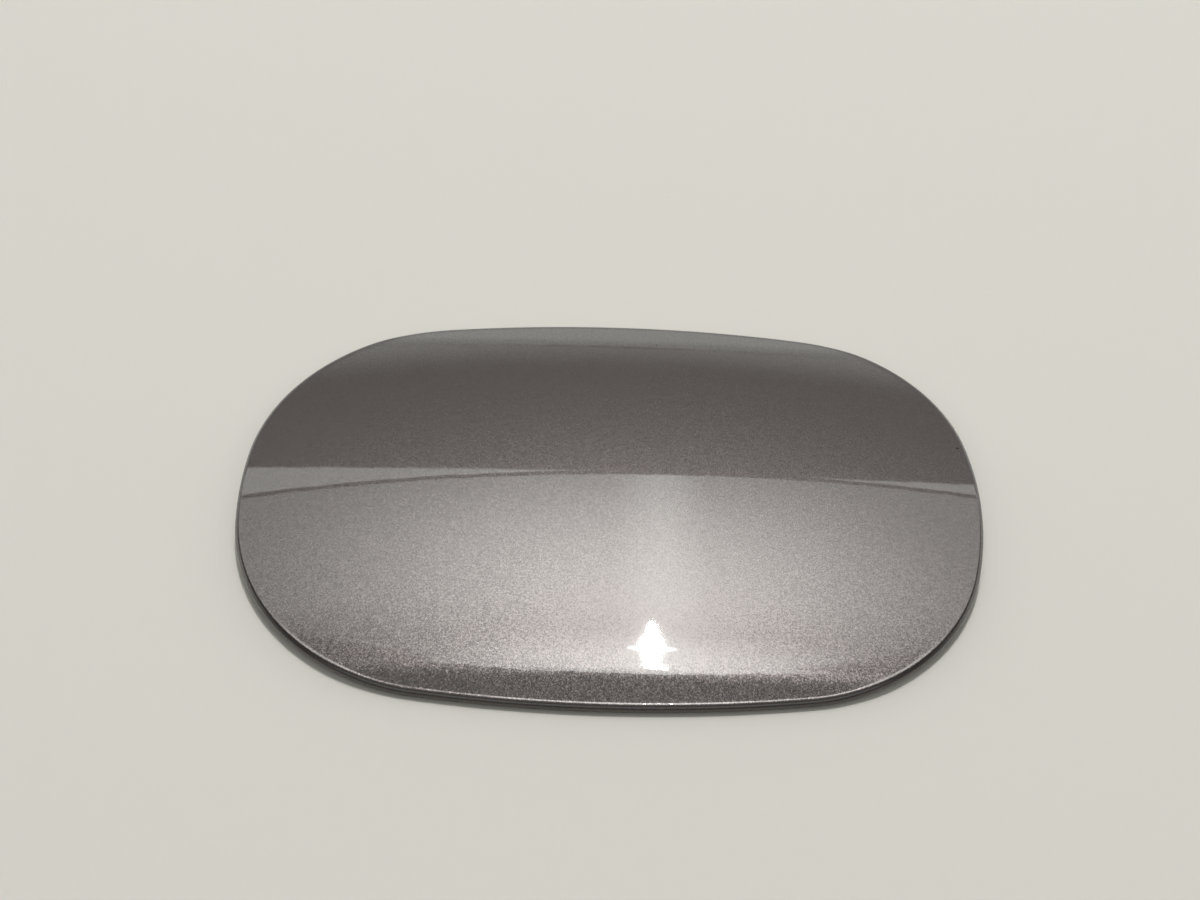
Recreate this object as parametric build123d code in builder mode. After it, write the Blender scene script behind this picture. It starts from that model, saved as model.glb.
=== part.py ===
"""Fuel filler flap: a pressed steel skin hemmed round an inner panel that carries two weld nuts."""

import os
from math import asin, atan2, cos, degrees, radians, sin, sqrt

from build123d import *

os.makedirs("parts", exist_ok=True)

# Outline seen square on: long sides, ends and corners are arcs that run into each other.
# A corner's radius is half the width less its offset
length = 190.0
width = 129.0
long_side_radius = 368.0
hinge_end_radius = 99.0
latch_end_radius = 121.0
hinge_corner_offset = 13.5
latch_corner_offset = 8.5

# Pressed shape: crowned both ways, with a strip along each long side turned down further
crown_radius = 450.0
length_radius = 1200.0
border_width = 12.0
border_turn = 9.0
border_bend_radius = 40.0

# Sheet thicknesses and the hem that folds the skin round the inner panel's edge
skin_thickness = 0.8
panel_thickness = 0.7
hem_clearance = 0.05
hem_flange = 8.0
hem_edge_flat = 0.9
panel_edge_gap = 0.4

# Weld nuts for the hinge arm's two M5 bolts
nut_across = 9.0
nut_height = 3.6
nut_bore = 4.2
nut_top_clearance = 0.4
bolt_spacing = 36.0
bolt_from_centre = 45.0
bolt_hole = 5.5

# Pan pressed into the inner panel, with its stiffening beads and holes
pan_inset = 12.0
pan_wall_run = 7.0
pan_bend = 1.2
pan_least_depth = 2.4
bead_length = 74.0
bead_width = 11.0
bead_height = 1.5
bead_slope = 45.0
bead_spacing = 48.0
bead_from_centre = 22.0
access_length = 34.0
access_width = 16.0
access_from_centre = 22.0

# Tool bodies reach this far past what they cut, and the section this far past the outline
reach = 30.0
section_margin = 6.0

# Values worked out from those above
half_length = length / 2
half_width = width / 2
hinge_corner_radius = half_width - hinge_corner_offset
latch_corner_radius = half_width - latch_corner_offset
slot_gap = panel_thickness + 2 * hem_clearance
hem_thickness = 2 * skin_thickness + slot_gap
hem_edge_bevel = (hem_thickness - hem_edge_flat) / 2
turn_start = asin((half_width - border_width) / crown_radius)
turn_end = turn_start + radians(border_turn)
bend_y = (crown_radius - border_bend_radius) * sin(turn_start)
bend_z = (crown_radius - border_bend_radius) * cos(turn_start) - crown_radius


def crown_height(x, y):
    """Height of the skin's outer face over the plan point, inside the turned-down strips."""
    ridge = length_radius + sqrt(crown_radius**2 - y**2) - crown_radius
    return sqrt(ridge**2 - x**2) - length_radius


nut_edge_x = bolt_from_centre + nut_across / 2
nut_edge_y = (bolt_spacing + nut_across) / 2
nut_top = crown_height(nut_edge_x, nut_edge_y) - skin_thickness - nut_top_clearance
panel_top = skin_thickness + hem_clearance
pan_mouth = crown_height(0, half_width - pan_inset) - panel_top - panel_thickness
pan_underside = min(nut_top - nut_height - panel_thickness, pan_mouth - pan_least_depth)
pan_floor = pan_underside + panel_thickness


def corner_centre(end_radius, corner_radius):
    """Centre of the corner arc that runs into both a long side's arc and an end's arc."""
    side_y = half_width - long_side_radius
    end_x = half_length - end_radius
    side_reach = long_side_radius - corner_radius
    end_reach = end_radius - corner_radius
    gap = sqrt(end_x**2 + side_y**2)
    along = (gap**2 + side_reach**2 - end_reach**2) / (2 * gap)
    across = sqrt(side_reach**2 - along**2)
    x = (along * end_x - across * side_y) / gap
    y = side_y - (along * side_y + across * end_x) / gap
    return (x, y)


def flap_outline(inset):
    """The oval's edges, drawn inside its full size by the inset."""
    side_y = half_width - long_side_radius
    ends = (
        (1, hinge_end_radius, hinge_corner_radius),
        (-1, latch_end_radius, latch_corner_radius),
    )
    side_start = []
    with BuildLine() as outline:
        for way, end_radius, corner_radius in ends:
            end_x = half_length - end_radius
            x, y = corner_centre(end_radius, corner_radius)
            end_angle = degrees(atan2(y, x - end_x))
            side_angle = degrees(atan2(y - side_y, x))
            turn = side_angle - end_angle
            side_start.append(side_angle)
            radius = corner_radius - inset
            if way > 0:
                CenterArc((end_x, 0), end_radius - inset, -end_angle, 2 * end_angle)
                CenterArc((x, y), radius, end_angle, turn)
                CenterArc((x, -y), radius, -side_angle, turn)
            else:
                CenterArc((-end_x, 0), end_radius - inset, 180 - end_angle, 2 * end_angle)
                CenterArc((-x, y), radius, 180 - side_angle, turn)
                CenterArc((-x, -y), radius, 180 + end_angle, turn)
        sweep = 180 - side_start[0] - side_start[1]
        CenterArc((0, side_y), long_side_radius - inset, side_start[0], sweep)
        CenterArc((0, -side_y), long_side_radius - inset, 180 + side_start[1], sweep)
    return outline.edges()


def crown_section():
    """Points across the flap's outer face: the crown, then a bend and a straight strip each side."""
    half = []
    for share in (0.5, 1.0):
        angle = share * turn_start
        half.append((crown_radius * sin(angle), crown_radius * (cos(angle) - 1)))
    for share in (0.5, 1.0):
        angle = turn_start + share * radians(border_turn)
        half.append((bend_y + border_bend_radius * sin(angle), bend_z + border_bend_radius * cos(angle)))
    strip_y, strip_z = half[-1]
    for share in (0.5, 1.0):
        run = share * (border_width + section_margin)
        half.append((strip_y + run * cos(turn_end), strip_z - run * sin(turn_end)))
    return [(-y, z) for y, z in reversed(half)] + [(0.0, 0.0)] + half


def pressed_layer(top, bottom, inset):
    """Layer of the pressed shape between two depths under its outer face, cut to the outline."""
    half_sweep = asin((half_length + section_margin) / (length_radius - bottom - reach))
    section = Plane(
        origin=(0, 0, -length_radius),
        x_dir=(0, 1, 0),
        z_dir=(cos(half_sweep), 0, sin(half_sweep)),
    )
    edge_ways = [(cos(turn_end), sin(turn_end)), (cos(turn_end), -sin(turn_end))]
    upper_points = [(y, length_radius + z - top) for y, z in crown_section()]
    lower_points = [(y, length_radius + z - bottom) for y, z in crown_section()]
    with BuildPart() as layer:
        with BuildSketch(section):
            with BuildLine():
                upper = Spline(upper_points, tangents=edge_ways)
                lower = Spline(lower_points, tangents=edge_ways)
                Line(upper @ 0, lower @ 0)
                Line(upper @ 1, lower @ 1)
            make_face()
        axis = Axis((0, 0, -length_radius), (0, 1, 0))
        revolve(axis=axis, revolution_arc=2 * degrees(half_sweep))
        with BuildSketch(Plane.XY.offset(-2 * reach)):
            make_face(flap_outline(inset))
        extrude(amount=3 * reach, mode=Mode.INTERSECT)
    return layer.part


def pan_body(rise, bend):
    """The pan's sloping-sided shape down to its underside, lifted by the rise, its floor's edge bent."""
    with BuildPart() as body:
        with BuildSketch(Plane.XY.offset(rise)):
            make_face(flap_outline(pan_inset))
        with BuildSketch(Plane.XY.offset(pan_underside + rise)):
            make_face(flap_outline(pan_inset + pan_wall_run))
        loft(ruled=True)
        chamfer(body.faces().sort_by(Axis.Z)[0].edges(), length=bend)
    return body.part


# Outer skin: the hem's full thickness with its edge broken both sides, then the slot for the inner panel
# and the opening that leaves only the folded flange underneath
hem_slot = pressed_layer(skin_thickness, skin_thickness + slot_gap, skin_thickness)
hem_opening = pressed_layer(skin_thickness + hem_clearance, hem_thickness + reach / 2, hem_flange)
skin_blank = pressed_layer(0, hem_thickness, 0)
with BuildPart() as outer_skin:
    add(skin_blank)
    rim_faces = outer_skin.faces().filter_by(lambda f: abs(f.normal_at().Z) < 0.5)
    rim_edges = rim_faces.edges().filter_by(lambda e: abs(e.tangent_at(0.5).Z) < 0.7)
    chamfer(rim_edges, length=hem_edge_bevel)
    add(hem_slot, mode=Mode.SUBTRACT)
    add(hem_opening, mode=Mode.SUBTRACT)

# Inner panel: a sheet that lies in the hem, with a flat-floored pan pressed down in its middle.
# The die is what lies under the sheet when it is pressed
with BuildPart() as die:
    add(pressed_layer(panel_top + panel_thickness, reach, 0))
    add(pan_body(0, pan_bend), mode=Mode.SUBTRACT)
    die_top = die.faces().filter_by(lambda f: len(f.inner_wires()) == 1)[0]
    chamfer(die_top.inner_wires()[0].edges(), length=pan_bend)
with BuildPart() as inner_panel:
    add(pressed_layer(panel_top, reach / 2, skin_thickness + panel_edge_gap))
    add(pan_body(panel_thickness, pan_bend), mode=Mode.SUBTRACT)
    panel_face = inner_panel.faces().filter_by(lambda f: len(f.inner_wires()) == 1)[0]
    chamfer(panel_face.inner_wires()[0].edges(), length=pan_bend)
    add(die.part, mode=Mode.SUBTRACT)
    # Two beads pressed up into the pan's floor
    with BuildSketch(Plane.XY.offset(pan_floor)):
        with Locations((-bead_from_centre, 0)):
            with GridLocations(0, bead_spacing, 1, 2):
                SlotOverall(bead_length, bead_width)
    extrude(amount=bead_height, taper=bead_slope)
    with BuildSketch(Plane.XY.offset(pan_underside)):
        with Locations((-bead_from_centre, 0)):
            with GridLocations(0, bead_spacing, 1, 2):
                SlotOverall(bead_length, bead_width)
    extrude(amount=bead_height, taper=bead_slope, mode=Mode.SUBTRACT)
    # Bolt holes, and the access hole between the beads
    with BuildSketch(Plane.XY.offset(pan_underside)):
        with Locations((bolt_from_centre, 0)):
            with GridLocations(0, bolt_spacing, 1, 2):
                Circle(bolt_hole / 2)
        with Locations((-access_from_centre, 0)):
            SlotOverall(access_length, access_width)
    extrude(amount=panel_thickness, mode=Mode.SUBTRACT)

# Weld nuts: square, on the pan's hidden side over its two bolt holes
with BuildPart() as weld_nuts:
    with BuildSketch(Plane.XY.offset(pan_floor)):
        with Locations((bolt_from_centre, 0)):
            with GridLocations(0, bolt_spacing, 1, 2):
                Rectangle(nut_across, nut_across)
                Circle(nut_bore / 2, mode=Mode.SUBTRACT)
    extrude(amount=nut_height)

# The flap stands on its hem: every piece is lifted by the depth of the hem's lowest point
stand = Pos(0, 0, -outer_skin.part.bounding_box().min.Z)

outer_skin_stood = stand * outer_skin.part
outer_skin_stood.label = "outer_skin"
export_step(outer_skin_stood, "parts/outer_skin.step")

inner_panel_stood = stand * inner_panel.part
inner_panel_stood.label = "inner_panel"
export_step(inner_panel_stood, "parts/inner_panel.step")

weld_nuts_stood = stand * weld_nuts.part
weld_nuts_stood.label = "weld_nuts"
export_step(weld_nuts_stood, "parts/weld_nuts.step")
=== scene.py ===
from math import atan2, cos, hypot, pi, radians, sin

import bpy
from mathutils import Matrix, Vector


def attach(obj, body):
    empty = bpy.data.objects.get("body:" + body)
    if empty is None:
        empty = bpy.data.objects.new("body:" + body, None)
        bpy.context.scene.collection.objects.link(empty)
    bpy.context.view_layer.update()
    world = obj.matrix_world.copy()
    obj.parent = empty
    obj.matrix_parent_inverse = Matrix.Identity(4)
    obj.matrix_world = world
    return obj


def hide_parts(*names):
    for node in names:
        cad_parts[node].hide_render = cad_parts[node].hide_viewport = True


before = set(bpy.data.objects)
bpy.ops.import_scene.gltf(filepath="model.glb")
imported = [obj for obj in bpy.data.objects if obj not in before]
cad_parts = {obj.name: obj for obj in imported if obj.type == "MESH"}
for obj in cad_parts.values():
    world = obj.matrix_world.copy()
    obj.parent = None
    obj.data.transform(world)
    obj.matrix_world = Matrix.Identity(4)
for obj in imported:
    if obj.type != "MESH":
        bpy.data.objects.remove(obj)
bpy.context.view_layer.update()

# The inner panel: a thin steel sheet pressed into a pan with beads and holes, under the skin. Its edge is
# clamped in the skin's hem. It is a copy of the frame's mesh with its corners merged, so that its bends
# shade as bent steel and not as loose facets.
MM = 0.001
MERGE_GAP = 0.002
SHARP_BEND = radians(20)
scene = bpy.context.scene
panel_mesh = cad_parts["inner_panel"].data.copy()
panel_mesh.name = "inner_panel_smooth"
inner_panel = bpy.data.objects.new("inner_panel_smooth", panel_mesh)
scene.collection.objects.link(inner_panel)
merge = inner_panel.modifiers.new("merge", "WELD")
merge.merge_threshold = MERGE_GAP * MM
evaluated = inner_panel.evaluated_get(bpy.context.evaluated_depsgraph_get())
inner_panel.data = bpy.data.meshes.new_from_object(evaluated)
inner_panel.modifiers.remove(merge)
inner_panel.data.materials.clear()
for face in inner_panel.data.polygons:
    face.use_smooth = True
inner_panel.data.set_sharp_from_angle(angle=SHARP_BEND)


def colour(hex_code):
    """Linear RGBA from an sRGB hex code."""
    parts = [int(hex_code[i:i + 2], 16) / 255 for i in (1, 3, 5)]
    return tuple(p / 12.92 if p <= 0.04045 else ((p + 0.055) / 1.055) ** 2.4 for p in parts) + (1.0,)


def start_material(name, fixed):
    """A new material with its node tree and shader; the shader's fixed inputs are set by name."""
    material = bpy.data.materials.new(name)
    material.use_nodes = True
    made = material.node_tree.nodes["Principled BSDF"]
    for socket, value in fixed.items():
        made.inputs[socket].default_value = value
    return material, material.node_tree, made


def add_node(tree, kind, *feeds, into=None, **settings):
    """Add a node with its settings; feeds go to its sockets in order, `into` to sockets by name."""
    made = tree.nodes.new(kind)
    for name, value in settings.items():
        setattr(made, name, value)
    pairs = list(zip(made.inputs, feeds))
    pairs += [(made.inputs[name], feed) for name, feed in (into or {}).items()]
    for socket, feed in pairs:
        if isinstance(feed, bpy.types.Node):
            feed = feed.outputs[0]
        if isinstance(feed, bpy.types.NodeSocket):
            tree.links.new(feed, socket)
        else:
            socket.default_value = feed
    return made


# Paint on the hidden side: the body colour, thin and with little clear coat, so it reads flat and dry.
# It is cloudy in patches, and its spray grain is drawn coarser than the real one, which would not show.
# Widths and depths of patterns are in millimetres, here and below
PATCH_WIDTH = 7.14
GRAIN_WIDTH = 0.714
GRAIN_DEPTH = 0.1
dry_paint, tree, shader = start_material("thin_inside_paint", {"Metallic": 0.55, "Roughness": 0.5})
place = add_node(tree, "ShaderNodeTexCoord").outputs["Object"]
patch = add_node(
    tree, "ShaderNodeTexNoise", into={"Vector": place, "Scale": 1 / (PATCH_WIDTH * MM), "Detail": 4.0}
)
shade = add_node(tree, "ShaderNodeValToRGB", patch.outputs["Fac"])
shade.color_ramp.elements[0].position = 0.3
shade.color_ramp.elements[0].color = colour("#5E5956")
shade.color_ramp.elements[1].position = 0.7
shade.color_ramp.elements[1].color = colour("#6B6562")
tree.links.new(shade.outputs["Color"], shader.inputs["Base Color"])
grain = add_node(
    tree, "ShaderNodeTexNoise", into={"Vector": place, "Scale": 1 / (GRAIN_WIDTH * MM), "Detail": 2.0}
).outputs["Fac"]
relief = add_node(
    tree, "ShaderNodeBump", into={"Height": grain, "Strength": 0.12, "Distance": GRAIN_DEPTH * MM}
)
tree.links.new(relief.outputs["Normal"], shader.inputs["Normal"])
inner_panel.data.materials.append(dry_paint)
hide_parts("inner_panel")
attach(inner_panel, "root")

# The two weld nuts: square steel nuts, zinc plated, welded over the bolt holes on the pan's hidden side.
# They keep the frame's own mesh and only take a finish.
# Zinc plate: bright, but clouded in patches, so it shines unevenly
CLOUD_WIDTH = 1.667
zinc, tree, shader = start_material("zinc_plated_steel", {"Metallic": 1.0})
place = add_node(tree, "ShaderNodeTexCoord").outputs["Object"]
cloud = add_node(
    tree, "ShaderNodeTexNoise", into={"Vector": place, "Scale": 1 / (CLOUD_WIDTH * MM), "Detail": 5.0}
)
shade = add_node(tree, "ShaderNodeValToRGB", cloud.outputs["Fac"])
shade.color_ramp.elements[0].color = colour("#8E9093")
shade.color_ramp.elements[1].color = colour("#C3C5C6")
tree.links.new(shade.outputs["Color"], shader.inputs["Base Color"])
dull = add_node(tree, "ShaderNodeMapRange", cloud.outputs["Fac"], 0.2, 0.8, 0.28, 0.5)
tree.links.new(dull.outputs["Result"], shader.inputs["Roughness"])
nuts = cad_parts["weld_nuts"]
nuts.data.materials.clear()
nuts.data.materials.append(zinc)

# The outer skin: one steel sheet pressed to a crown both ways, with its long sides turned down further.
# Its edge is folded under all round to hold the inner panel, and it is painted in the body colour.
# Sizes in millimetres: each end has its own radius and the radius of its two corners
HALF_LENGTH, HALF_WIDTH, SIDE_RADIUS = 95.0, 64.5, 368.0
ENDS = {"Hinge": (99.0, 51.0), "Latch": (121.0, 56.0)}
CROWN_RADIUS, LENGTH_RADIUS, CROWN_TOP = 450.0, 1200.0, 8.2
BORDER_START, BORDER_BLEND, BORDER_TURN = 53.5, 4.2, radians(9.0)
SHEET, SLOT, FLANGE = 0.8, 0.8, 8.0
HEM = 2 * SHEET + SLOT
BEAD_HEIGHT, BEAD_START, BEAD_RUN = 0.07, 1.7, 0.6
BEAD_TOP = BEAD_START - BEAD_RUN
UNDER_ROLL = 2.6

# The oval: each corner's arc runs into a long side's arc and an end's arc. Its centre follows from their
# radii, and the angles are where the arcs meet
side_y = HALF_WIDTH - SIDE_RADIUS
sizes = {"Side radius": SIDE_RADIUS, "Side centre": side_y}
angles = {}
for name, (end_radius, corner_radius) in ENDS.items():
    end_x = HALF_LENGTH - end_radius
    side_reach, end_reach = SIDE_RADIUS - corner_radius, end_radius - corner_radius
    gap = hypot(end_x, side_y)
    along = (gap**2 + side_reach**2 - end_reach**2) / (2 * gap)
    across = (side_reach**2 - along**2) ** 0.5
    corner_x = (along * end_x - across * side_y) / gap
    corner_y = side_y - (along * side_y + across * end_x) / gap
    angles[name] = (atan2(corner_y, corner_x - end_x), atan2(corner_y - side_y, corner_x))
    sizes[name + " end radius"] = end_radius
    sizes[name + " end centre"] = end_x
    sizes[name + " corner radius"] = corner_radius
    sizes[name + " corner x"] = corner_x
    sizes[name + " corner y"] = corner_y
    sizes[name + " end angle"] = angles[name][0]
    sizes[name + " side angle"] = angles[name][1]
sizes.update({"Crown radius": CROWN_RADIUS, "Length radius": LENGTH_RADIUS, "Crown top": CROWN_TOP})
sizes.update({"Border start": BORDER_START, "Border blend": BORDER_BLEND, "Border turn": BORDER_TURN})
sizes.update({"Bead height": BEAD_HEIGHT})

# Directions round the oval, as close together along its edge as the step says
STEP_ROUND = 1.1
LEAST_STEPS = 4
(hinge_end, hinge_side), (latch_end, latch_side) = angles["Hinge"], angles["Latch"]
arcs = [(0.0, hinge_end, ENDS["Hinge"][0]), (hinge_end, hinge_side, ENDS["Hinge"][1])]
arcs += [(hinge_side, pi - latch_side, SIDE_RADIUS)]
arcs += [(pi - latch_side, pi - latch_end, ENDS["Latch"][1]), (pi - latch_end, pi, ENDS["Latch"][0])]
turns = []
for start, stop, radius in arcs:
    count = max(LEAST_STEPS, round((stop - start) * radius / STEP_ROUND))
    turns += [start + (stop - start) * k / count for k in range(count)]
turns += [t + pi for t in [pi - t for t in reversed(turns[1:] + [pi])]]

# Rings of the blank from the middle of the outer face, over the rolled edge, to the middle underneath:
# how far the ring is gathered to the middle, its inset from the edge, its depth in the hem, and its share
# of the low bead along the hem, which fades out round the ends. Past the gather inset, rings only shrink
GATHER_INSET = 30.0
MIDDLE_RINGS, FACE_RINGS, FACE_STEP = 26, 46, 0.6
BEAD_RINGS, ROLL_RINGS, FLANGE_RINGS, LIP_RINGS = 12, 20, 8, 4
FOLD_RINGS, UNDER_RINGS, UNDER_MIDDLE_RINGS = 6, 24, 12
rings = [(k / MIDDLE_RINGS, GATHER_INSET, 0.0, 0.0) for k in range(MIDDLE_RINGS + 1)]
rings += [(1.0, GATHER_INSET - k * FACE_STEP, 0.0, 0.0) for k in range(1, FACE_RINGS + 1)]
for k in range(BEAD_RINGS + 1):
    rise = k / BEAD_RINGS
    rings.append((1.0, BEAD_START - BEAD_RUN * rise, 0.0, rise**2 * (3 - 2 * rise)))
# The edge's roll is nearly round above its middle, and draws further in below it, under the flap
for k in range(1, ROLL_RINGS + 1):
    around = pi * k / ROLL_RINGS
    roll = BEAD_TOP if k <= ROLL_RINGS / 2 else UNDER_ROLL
    rings.append((1.0, roll * (1 - sin(around)), HEM / 2 * (1 - cos(around)), (1 + cos(around)) / 2))
for k in range(1, FLANGE_RINGS + 1):
    rings.append((1.0, UNDER_ROLL + (FLANGE - UNDER_ROLL) * k / FLANGE_RINGS, HEM, 0.0))
rings += [(1.0, FLANGE, HEM - SHEET * k / LIP_RINGS, 0.0) for k in range(1, LIP_RINGS)]
# The slot between the flange and the outer sheet, round its closed end and back
for k in range(FLANGE_RINGS + 1):
    rings.append((1.0, FLANGE - (FLANGE - HEM / 2) * k / FLANGE_RINGS, SHEET + SLOT, 0.0))
for k in range(1, FOLD_RINGS):
    around = pi * k / FOLD_RINGS
    rings.append((1.0, HEM / 2 - SLOT / 2 * sin(around), SHEET + SLOT / 2 * (1 + cos(around)), 0.0))
for k in range(UNDER_RINGS + 1):
    rings.append((1.0, HEM / 2 + (GATHER_INSET - HEM / 2) * k / UNDER_RINGS, SHEET, 0.0))
rings += [(1 - k / UNDER_MIDDLE_RINGS, GATHER_INSET, SHEET, 0.0) for k in range(1, UNDER_MIDDLE_RINGS + 1)]

# The blank's mesh: a fan round the middle of each face, and a band of quads between each ring and the next
count = len(turns)
rows = [(t, *ring) for ring in rings[1:-1] for t in turns]
rows = [(0.0, *rings[0])] + rows + [(0.0, *rings[-1])]
last = len(rows) - 1
faces = [(0, 1 + k, 1 + (k + 1) % count) for k in range(count)]
for ring in range(len(rings) - 3):
    base = 1 + ring * count
    for k in range(count):
        a, b = base + k, base + (k + 1) % count
        faces.append((a, a + count, b + count, b))
base = last - count
faces += [(last, base + (k + 1) % count, base + k) for k in range(count)]
blank = bpy.data.meshes.new("skin_blank")
blank.from_pydata([(0.0, 0.0, 0.0)] * len(rows), [], faces)
RING_VALUES = ("turn", "gather", "inset", "depth", "lift")
for slot, name in enumerate(RING_VALUES):
    layer = blank.attributes.new(name, "FLOAT", "POINT")
    layer.data.foreach_set("value", [row[slot] for row in rows])
skin = bpy.data.objects.new("painted_skin", blank)
scene.collection.objects.link(skin)

# Geometry Nodes press the blank. In plan, each ring lies inside the oval by its inset: the arc that a point
# belongs to follows from its direction
press = bpy.data.node_groups.new("press_skin", "GeometryNodeTree")
press.interface.new_socket("Geometry", in_out="INPUT", socket_type="NodeSocketGeometry")
press.interface.new_socket("Geometry", in_out="OUTPUT", socket_type="NodeSocketGeometry")
for name in sizes:
    press.interface.new_socket(name, in_out="INPUT", socket_type="NodeSocketFloat")
press.interface.new_socket("Paint", in_out="INPUT", socket_type="NodeSocketMaterial")
given = add_node(press, "NodeGroupInput").outputs
turn, gather, inset, depth, lift = [
    add_node(press, "GeometryNodeInputNamedAttribute", name, data_type="FLOAT") for name in RING_VALUES
]
out_x = add_node(press, "ShaderNodeMath", turn, operation="COSINE")
out_y = add_node(press, "ShaderNodeMath", turn, operation="SINE")
way_x = add_node(press, "ShaderNodeMath", out_x, operation="SIGN")
way_y = add_node(press, "ShaderNodeMath", out_y, operation="SIGN")
size_x = add_node(press, "ShaderNodeMath", out_x, operation="ABSOLUTE")
size_y = add_node(press, "ShaderNodeMath", out_y, operation="ABSOLUTE")
lean = add_node(press, "ShaderNodeMath", size_y, size_x, operation="ARCTAN2")
at_hinge = add_node(press, "ShaderNodeMath", out_x, 0.0, operation="GREATER_THAN")
ends = {}
for part in ("end radius", "end centre", "corner radius", "corner x", "corner y", "end angle", "side angle"):
    latch, hinge = given["Latch " + part], given["Hinge " + part]
    ends[part] = add_node(press, "GeometryNodeSwitch", at_hinge, latch, hinge, input_type="FLOAT")
on_end = add_node(press, "ShaderNodeMath", lean, ends["end angle"], operation="LESS_THAN")
on_side = add_node(press, "ShaderNodeMath", lean, ends["side angle"], operation="GREATER_THAN")
picked = []
for corner, side, end in (
    (ends["corner x"], 0.0, ends["end centre"]),
    (ends["corner y"], given["Side centre"], 0.0),
    (ends["corner radius"], given["Side radius"], ends["end radius"]),
):
    off_end = add_node(press, "GeometryNodeSwitch", on_side, corner, side, input_type="FLOAT")
    picked.append(add_node(press, "GeometryNodeSwitch", on_end, off_end, end, input_type="FLOAT"))
radius = add_node(press, "ShaderNodeMath", picked[2], inset, operation="SUBTRACT")
plan = []
for centre, way, out in ((picked[0], way_x, out_x), (picked[1], way_y, out_y)):
    middle = add_node(press, "ShaderNodeMath", centre, way, operation="MULTIPLY")
    edge = add_node(press, "ShaderNodeMath", radius, out, middle, operation="MULTIPLY_ADD")
    plan.append(add_node(press, "ShaderNodeMath", edge, gather, operation="MULTIPLY"))

# Height of the pressed face: both crowns, then the strip along each long side that turns down further.
# The turn comes in smoothly: over the blend the slope is a smooth step, and the run is that slope added up
SOFT = {"interpolation_type": "SMOOTHSTEP"}
BEAD_FADE = (0.55, 0.95)
drops = []
for across, crown in ((plan[0], given["Length radius"]), (plan[1], given["Crown radius"])):
    square = add_node(press, "ShaderNodeMath", across, across, operation="MULTIPLY")
    half = add_node(press, "ShaderNodeMath", square, 0.5, operation="MULTIPLY")
    drops.append(add_node(press, "ShaderNodeMath", half, crown, operation="DIVIDE"))
off_middle = add_node(press, "ShaderNodeMath", plan[1], operation="ABSOLUTE")
past = add_node(press, "ShaderNodeMath", off_middle, given["Border start"], operation="SUBTRACT")
share = add_node(press, "ShaderNodeMath", past, given["Border blend"], operation="DIVIDE", use_clamp=True)
cube = add_node(press, "ShaderNodeMath", share, 3.0, operation="POWER")
tail = add_node(press, "ShaderNodeMath", share, -0.5, 1.0, operation="MULTIPLY_ADD")
eased = add_node(press, "ShaderNodeMath", cube, tail, operation="MULTIPLY")
beyond = add_node(press, "ShaderNodeMath", past, given["Border blend"], operation="SUBTRACT")
straight = add_node(press, "ShaderNodeMath", beyond, 0.0, operation="MAXIMUM")
run = add_node(press, "ShaderNodeMath", eased, given["Border blend"], straight, operation="MULTIPLY_ADD")
drops.append(add_node(press, "ShaderNodeMath", run, given["Border turn"], operation="MULTIPLY"))
flush = add_node(press, "ShaderNodeMath", given["Crown top"], depth, operation="SUBTRACT")
long_side = add_node(press, "ShaderNodeMapRange", size_y, *BEAD_FADE, **SOFT)
bead = add_node(press, "ShaderNodeMath", given["Bead height"], long_side, operation="MULTIPLY")
height = add_node(press, "ShaderNodeMath", lift, bead, flush, operation="MULTIPLY_ADD")
for drop in drops:
    height = add_node(press, "ShaderNodeMath", height, drop, operation="SUBTRACT")
point = add_node(press, "ShaderNodeCombineXYZ", plan[0], plan[1], height)
metres = add_node(press, "ShaderNodeVectorMath", point, operation="SCALE", into={"Scale": MM})
pressed = add_node(press, "GeometryNodeSetPosition", given["Geometry"], into={"Position": metres})
smooth = add_node(press, "GeometryNodeSetShadeSmooth", pressed)
real = add_node(press, "GeometryNodeRealizeInstances", smooth)
coated = add_node(press, "GeometryNodeSetMaterial", real, into={"Material": given["Paint"]})
add_node(press, "NodeGroupOutput", coated)

# Metallic paint under clear coat: a warm grey base whose flakes glow round the lamp and fade to the sides,
# with a mirror-sharp coat. Real flakes are far finer: they are drawn this wide so that they show
FLAKE_WIDTH = 0.25
FLAKE_TILT = 0.13
paint, tree, shader = start_material("metallic_car_paint", {
    "Metallic": 0.9, "Roughness": 0.37, "Coat Weight": 1.0, "Coat Roughness": 0.02, "Coat IOR": 1.5,
})
place = add_node(tree, "ShaderNodeTexCoord").outputs["Object"]
flake = add_node(tree, "ShaderNodeTexVoronoi", into={"Vector": place, "Scale": 1 / (FLAKE_WIDTH * MM)})
shade = add_node(tree, "ShaderNodeValToRGB", flake.outputs["Color"])
shade.color_ramp.elements[0].color = colour("#433E3D")
shade.color_ramp.elements[1].color = colour("#57514F")
bearing = add_node(tree, "ShaderNodeNewGeometry").outputs["Normal"]
spread = add_node(tree, "ShaderNodeVectorMath", flake.outputs["Color"], (0.5,) * 3, operation="SUBTRACT")
tilted = add_node(tree, "ShaderNodeVectorMath", spread, (FLAKE_TILT,) * 3, bearing, operation="MULTIPLY_ADD")
facing = add_node(tree, "ShaderNodeVectorMath", tilted, operation="NORMALIZE")
tree.links.new(facing.outputs["Vector"], shader.inputs["Normal"])

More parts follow.
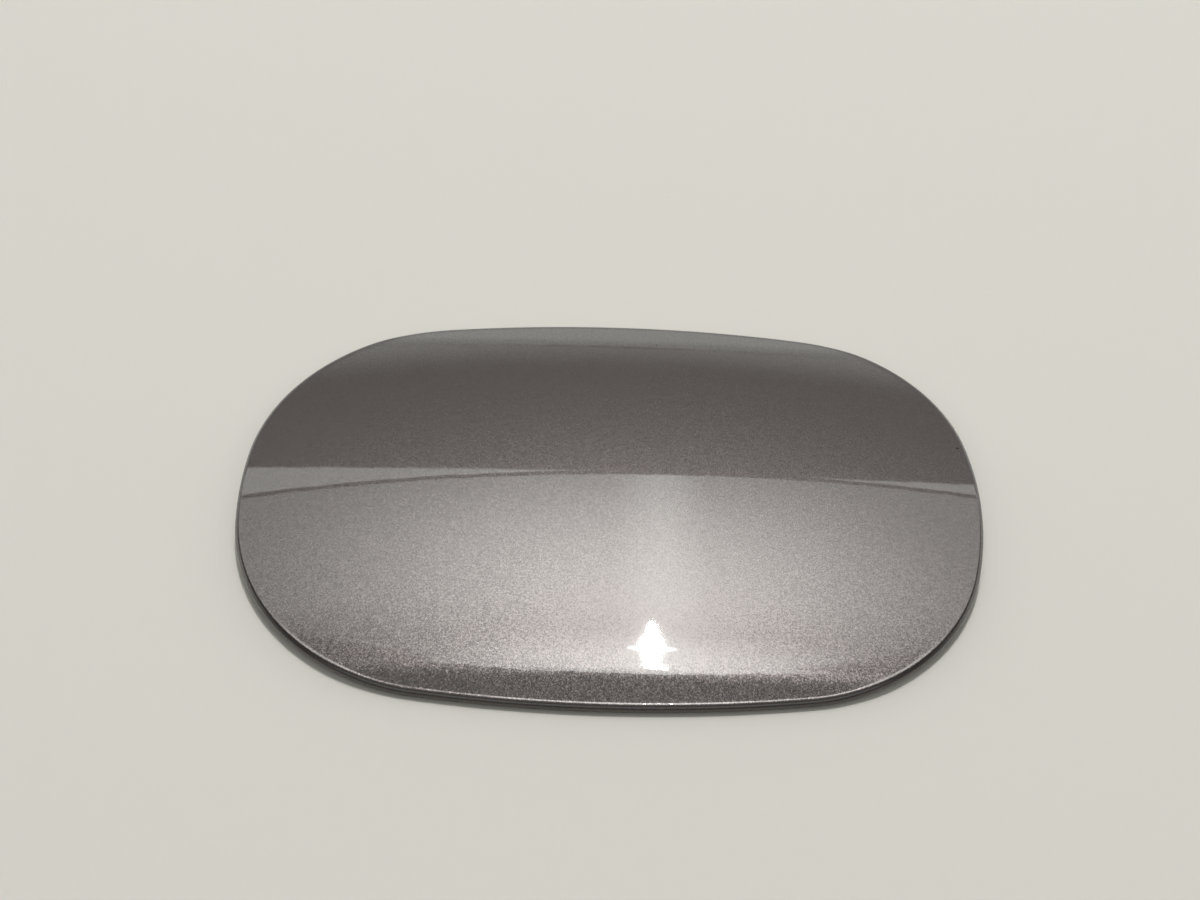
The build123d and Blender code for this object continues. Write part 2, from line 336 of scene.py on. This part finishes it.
# Two specks of dirt caught in the coat, dark to the first radius and gone at the second
SPECKS = ((11.2, 54.9, 4.7), (90.5, 20.3, 4.3))
SPECK_CORE, SPECK_RIM = 0.2, 0.5
base_colour = shade.outputs["Color"]
for speck in SPECKS:
    centre = tuple(value * MM for value in speck)
    away = add_node(tree, "ShaderNodeVectorMath", place, centre, operation="DISTANCE").outputs["Value"]
    dark = add_node(tree, "ShaderNodeMapRange", away, SPECK_CORE * MM, SPECK_RIM * MM, 1.0, 0.0)
    dirt = add_node(tree, "ShaderNodeMix", dark, data_type="RGBA")
    tree.links.new(base_colour, dirt.inputs[6])
    dirt.inputs[7].default_value = colour("#171412")
    base_colour = dirt.outputs[2]
tree.links.new(base_colour, shader.inputs["Base Color"])

# The coat waves a little, as sprayed paint does, and most on the strips that turn down
WAVE_WIDTH, WAVE_DEPTH = 4.348, 0.055
WAVE_STRIP, WAVE_ON_CROWN, WAVE_ON_STRIP = (53.0, 56.5), 0.05, 1.1
wave = add_node(
    tree, "ShaderNodeTexNoise", into={"Vector": place, "Scale": 1 / (WAVE_WIDTH * MM), "Detail": 0.0}
)
position = add_node(tree, "ShaderNodeSeparateXYZ", place).outputs
off_axis = add_node(tree, "ShaderNodeMath", position["Y"], operation="ABSOLUTE")
strip_start, strip_full = (value * MM for value in WAVE_STRIP)
strength = add_node(
    tree, "ShaderNodeMapRange", off_axis, strip_start, strip_full, WAVE_ON_CROWN, WAVE_ON_STRIP
)
swell = add_node(tree, "ShaderNodeMath", wave.outputs["Fac"], strength, operation="MULTIPLY")
peel = add_node(tree, "ShaderNodeBump", into={"Height": swell, "Strength": 1.0, "Distance": WAVE_DEPTH * MM})
tree.links.new(peel.outputs["Normal"], shader.inputs["Coat Normal"])

modifier = skin.modifiers.new("press", "NODES")
modifier.node_group = press
sockets = {item.name: item.identifier for item in press.interface.items_tree if item.in_out == "INPUT"}
for name, value in sizes.items():
    modifier[sockets[name]] = value
modifier[sockets["Paint"]] = paint
skin.update_tag()
evaluated = skin.evaluated_get(bpy.context.evaluated_depsgraph_get())
skin.data = bpy.data.meshes.new_from_object(evaluated)
skin.modifiers.remove(modifier)
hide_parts("outer_skin")
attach(skin, "root")

# The bench that the flap lies on: a plain plane, pale and a little warm, that reaches metres past it.
# It is matt, so it takes the flap's shadow and mirrors next to nothing.
BENCH_REACH = 12
bench_mesh = bpy.data.meshes.new("bench")
bench_corners = [(x * BENCH_REACH, y * BENCH_REACH, 0) for x, y in ((-1, -1), (1, -1), (1, 1), (-1, 1))]
bench_mesh.from_pydata(bench_corners, [], [(0, 1, 2, 3)])
bench = bpy.data.objects.new("bench", bench_mesh)
scene.collection.objects.link(bench)
matt = {"Base Color": colour("#D4D0C9"), "Roughness": 0.8}
bench_mesh.materials.append(start_material("pale_bench", matt)[0])

# Light: a lamp high behind the flap is mirrored as the highlight near its front edge. A long tube and a
# bulb make its body, and a faint, wide glint the points at its sides.
# Each lamp's place behind the flap, its width and length in metres, and its watts
LAMPS = (
    ("tube", 1.050, 0.034, 0.38, 17.0),
    ("bulb", 1.100, 0.060, 0.125, 13.5),
    ("glint", 1.085, 0.130, 0.034, 0.12),
)
LAMP_ACROSS, LAMP_HEIGHT = 0.104, 2.5
LAMP_COLOUR = (0.97, 0.98, 1.0)
target = Vector((0, 0, CROWN_TOP * MM))
for name, lamp_behind, lamp_width, lamp_length, watts in LAMPS:
    light = bpy.data.lights.new(name, "AREA")
    light.shape = "ELLIPSE"
    light.size, light.size_y, light.energy = lamp_width, lamp_length, watts
    light.color = LAMP_COLOUR
    lamp = bpy.data.objects.new(name, light)
    scene.collection.objects.link(lamp)
    lamp.location = target + Vector((LAMP_ACROSS, lamp_behind, LAMP_HEIGHT))

# The room: a wide soft ceiling panel round the lamp is mirrored over the flap's near half, and its far edge
# is the line across the flap's middle. The rest of the room is dim, with a few lighter parts.
# A place on the ceiling is how far a direction runs across and back for each unit that it rises
LEAST_RISE = 0.08
ROOM_COLOUR = (0.98, 1.0, 0.96, 1.0)
world = bpy.data.worlds.new("room")
scene.world = world
world.use_nodes = True
tree = world.node_tree
place = add_node(tree, "ShaderNodeTexCoord").outputs["Generated"]
heading = add_node(tree, "ShaderNodeSeparateXYZ", place).outputs
climb = add_node(tree, "ShaderNodeMath", heading["Z"], LEAST_RISE, operation="MAXIMUM")
ceiling_x = add_node(tree, "ShaderNodeMath", heading["X"], climb, operation="DIVIDE")
ceiling_y = add_node(tree, "ShaderNodeMath", heading["Y"], climb, operation="DIVIDE")
bow = add_node(tree, "ShaderNodeMath", ceiling_x, ceiling_x, operation="MULTIPLY")

# The panel's far edge, a little bowed, and its near edge, which bends back towards the corners
FAR_EDGE, FAR_SLANT, FAR_BOW, FAR_SOFT = 0.937, 0.02, 0.32, 0.005
NEAR_EDGE, NEAR_CORNER, NEAR_BEND, NEAR_SOFT = 0.24, 0.40, (0.05, 0.18), 0.01
far_bow = add_node(tree, "ShaderNodeMath", bow, FAR_BOW, FAR_EDGE, operation="MULTIPLY_ADD")
far_edge = add_node(tree, "ShaderNodeMath", ceiling_x, FAR_SLANT, far_bow, operation="MULTIPLY_ADD")
far_side = add_node(tree, "ShaderNodeMath", far_edge, ceiling_y, operation="SUBTRACT")
far_mask = add_node(tree, "ShaderNodeMapRange", far_side, -FAR_SOFT, FAR_SOFT, **SOFT)
near_off = add_node(tree, "ShaderNodeMath", ceiling_x, operation="ABSOLUTE")
near_bend = add_node(tree, "ShaderNodeMapRange", near_off, *NEAR_BEND, NEAR_EDGE, NEAR_CORNER, **SOFT)
near_edge = add_node(tree, "ShaderNodeMath", bow, near_bend, operation="ADD")
near_side = add_node(tree, "ShaderNodeMath", ceiling_y, near_edge, operation="SUBTRACT")
near_mask = add_node(tree, "ShaderNodeMapRange", near_side, -NEAR_SOFT, NEAR_SOFT, **SOFT)
inside = add_node(tree, "ShaderNodeMath", far_mask, near_mask, operation="MULTIPLY")

# A dark rail runs across the panel. Beyond it the panel is brighter, and towards the near edge it dims
RAIL_EDGE, RAIL_SLANT, RAIL_BOW = 0.933, 0.0954, -0.10
RAIL_HALF, RAIL_SOFT, RAIL_JOIN = 0.005, 0.009, 0.004
PANEL_GLOW, BEYOND_GLOW = 1.6, 2.5
DIM_SHARE, DIM_RUN = 0.1, (0.42, 0.58)
rail_bow = add_node(tree, "ShaderNodeMath", bow, RAIL_BOW, RAIL_EDGE, operation="MULTIPLY_ADD")
rail = add_node(tree, "ShaderNodeMath", ceiling_x, RAIL_SLANT, rail_bow, operation="MULTIPLY_ADD")
past_rail = add_node(tree, "ShaderNodeMath", ceiling_y, rail, operation="SUBTRACT")
off_rail = add_node(tree, "ShaderNodeMath", past_rail, operation="ABSOLUTE")
rail_mask = add_node(tree, "ShaderNodeMapRange", off_rail, RAIL_HALF, RAIL_SOFT, **SOFT)
level = add_node(tree, "ShaderNodeMapRange", past_rail, -RAIL_JOIN, RAIL_JOIN, PANEL_GLOW, BEYOND_GLOW)
shaded = add_node(tree, "ShaderNodeMath", inside, rail_mask, operation="MULTIPLY")
dim = add_node(tree, "ShaderNodeMapRange", ceiling_y, *DIM_RUN, DIM_SHARE, 1.0, **SOFT)
dimmed = add_node(tree, "ShaderNodeMath", level, dim, operation="MULTIPLY")
panel = add_node(tree, "ShaderNodeMath", shaded, dimmed, operation="MULTIPLY")

# Soft glow round the lamp: a band to both sides of it, a streak from it to the far edge, and a halo
GLOW_ACROSS = 0.047
BAND_GLOW, BAND_DEEP, BAND_WIDE = 5.0, (0.42, 0.50), (0.03, 0.26)
STREAK_GLOW, STREAK_WIDE = 1.8, 0.06
HALO_GLOW, HALO_MIDDLE, HALO_REACH = 3.0, (0.0, 0.64, 0.0), 0.42
side_gap = add_node(tree, "ShaderNodeMath", ceiling_x, GLOW_ACROSS, operation="SUBTRACT")
side_off = add_node(tree, "ShaderNodeMath", side_gap, operation="ABSOLUTE")
band_deep = add_node(tree, "ShaderNodeMapRange", ceiling_y, *BAND_DEEP, BAND_GLOW, 0.0, **SOFT)
band_wide = add_node(tree, "ShaderNodeMapRange", side_off, *BAND_WIDE, 1.0, 0.0, **SOFT)
band_full = add_node(tree, "ShaderNodeMath", band_deep, band_wide, operation="MULTIPLY")
band = add_node(tree, "ShaderNodeMath", band_full, near_mask, operation="MULTIPLY")
streak = add_node(tree, "ShaderNodeMapRange", side_off, 0.0, STREAK_WIDE, STREAK_GLOW, 0.0, **SOFT)
streaked = add_node(tree, "ShaderNodeMath", streak, shaded, band, operation="MULTIPLY_ADD")
ceiling = add_node(tree, "ShaderNodeCombineXYZ", ceiling_x, ceiling_y)
halo_gap = add_node(tree, "ShaderNodeVectorMath", ceiling, HALO_MIDDLE, operation="DISTANCE").outputs["Value"]
halo = add_node(tree, "ShaderNodeMapRange", halo_gap, 0.0, HALO_REACH, HALO_GLOW, 0.0, **SOFT)
haloed = add_node(tree, "ShaderNodeMath", halo, shaded, streaked, operation="MULTIPLY_ADD")

# The rest of the room, by direction: a lighter horizon behind the flap, a dim wall with a soft box on the
# camera's side, which shows the flap from behind, and some light overhead
ROOM_GLOW = 0.02
HORIZON_GLOW, HORIZON_TOP, HORIZON_SIDE = 1.15, (0.49, 0.565), (-0.3, 0.35)
WALL_GLOW, WALL_SIDE = 0.10, (0.1, -0.2)
BOX_GLOW, BOX_SIDE, BOX_FOOT, BOX_HEAD = 0.9, (-0.30, -0.60), (0.30, 0.52), (0.82, 0.66)
OVERHEAD_GLOW, OVERHEAD_RISE = 0.42, (0.85, 0.97)
low = add_node(tree, "ShaderNodeMapRange", heading["Z"], *HORIZON_TOP, HORIZON_GLOW, 0.0, **SOFT)
behind = add_node(tree, "ShaderNodeMapRange", heading["Y"], *HORIZON_SIDE, **SOFT)
horizon = add_node(tree, "ShaderNodeMath", low, behind, ROOM_GLOW, operation="MULTIPLY_ADD")
wall = add_node(tree, "ShaderNodeMapRange", heading["Y"], *WALL_SIDE, 0.0, WALL_GLOW, **SOFT)
box_side = add_node(tree, "ShaderNodeMapRange", heading["Y"], *BOX_SIDE, 0.0, BOX_GLOW, **SOFT)
box_foot = add_node(tree, "ShaderNodeMapRange", heading["Z"], *BOX_FOOT, **SOFT)
box_head = add_node(tree, "ShaderNodeMapRange", heading["Z"], *BOX_HEAD, **SOFT)
box_tall = add_node(tree, "ShaderNodeMath", box_foot, box_head, operation="MULTIPLY")
front = add_node(tree, "ShaderNodeMath", box_side, box_tall, wall, operation="MULTIPLY_ADD")
overhead = add_node(tree, "ShaderNodeMapRange", heading["Z"], *OVERHEAD_RISE, 0.0, OVERHEAD_GLOW, **SOFT)
glow = panel
for added in (haloed, front, overhead, horizon):
    glow = add_node(tree, "ShaderNodeMath", glow, added, operation="ADD")
tree.links.new(glow.outputs[0], tree.nodes["Background"].inputs["Strength"])
tree.nodes["Background"].inputs["Color"].default_value = ROOM_COLOUR

# Camera, as the photograph was taken: 49 degrees above the bench, turned and tipped a little, with the
# frame shifted to hold the flap where the photograph has it
CAMERA_RISE, CAMERA_TURN, CAMERA_TIP = radians(48.63), radians(0.43), radians(-1.39)
CAMERA_DISTANCE = 508.3
LENS, SENSOR, NEAREST = 60.0, 36.0, 0.01
FRAME_SHIFT = (-0.0089, 0.0303)
right, up = Vector((1, 0, 0)), Vector((0, sin(CAMERA_RISE), cos(CAMERA_RISE)))
toward = Vector((0, -cos(CAMERA_RISE), sin(CAMERA_RISE)))
tipped_right = cos(CAMERA_TIP) * right - sin(CAMERA_TIP) * up
tipped_up = sin(CAMERA_TIP) * right + cos(CAMERA_TIP) * up
axes = Matrix.Rotation(CAMERA_TURN, 3, "Z") @ Matrix((tipped_right, tipped_up, toward)).transposed()
camera_data = bpy.data.cameras.new("camera")
camera_data.lens, camera_data.sensor_width = LENS, SENSOR
camera_data.shift_x, camera_data.shift_y = FRAME_SHIFT
camera_data.clip_start = NEAREST
camera = bpy.data.objects.new("camera", camera_data)
scene.collection.objects.link(camera)
camera.matrix_world = Matrix.Translation(target + axes.col[2] * CAMERA_DISTANCE * MM) @ axes.to_4x4()
scene.camera = camera
scene.view_settings.view_transform = "Standard"
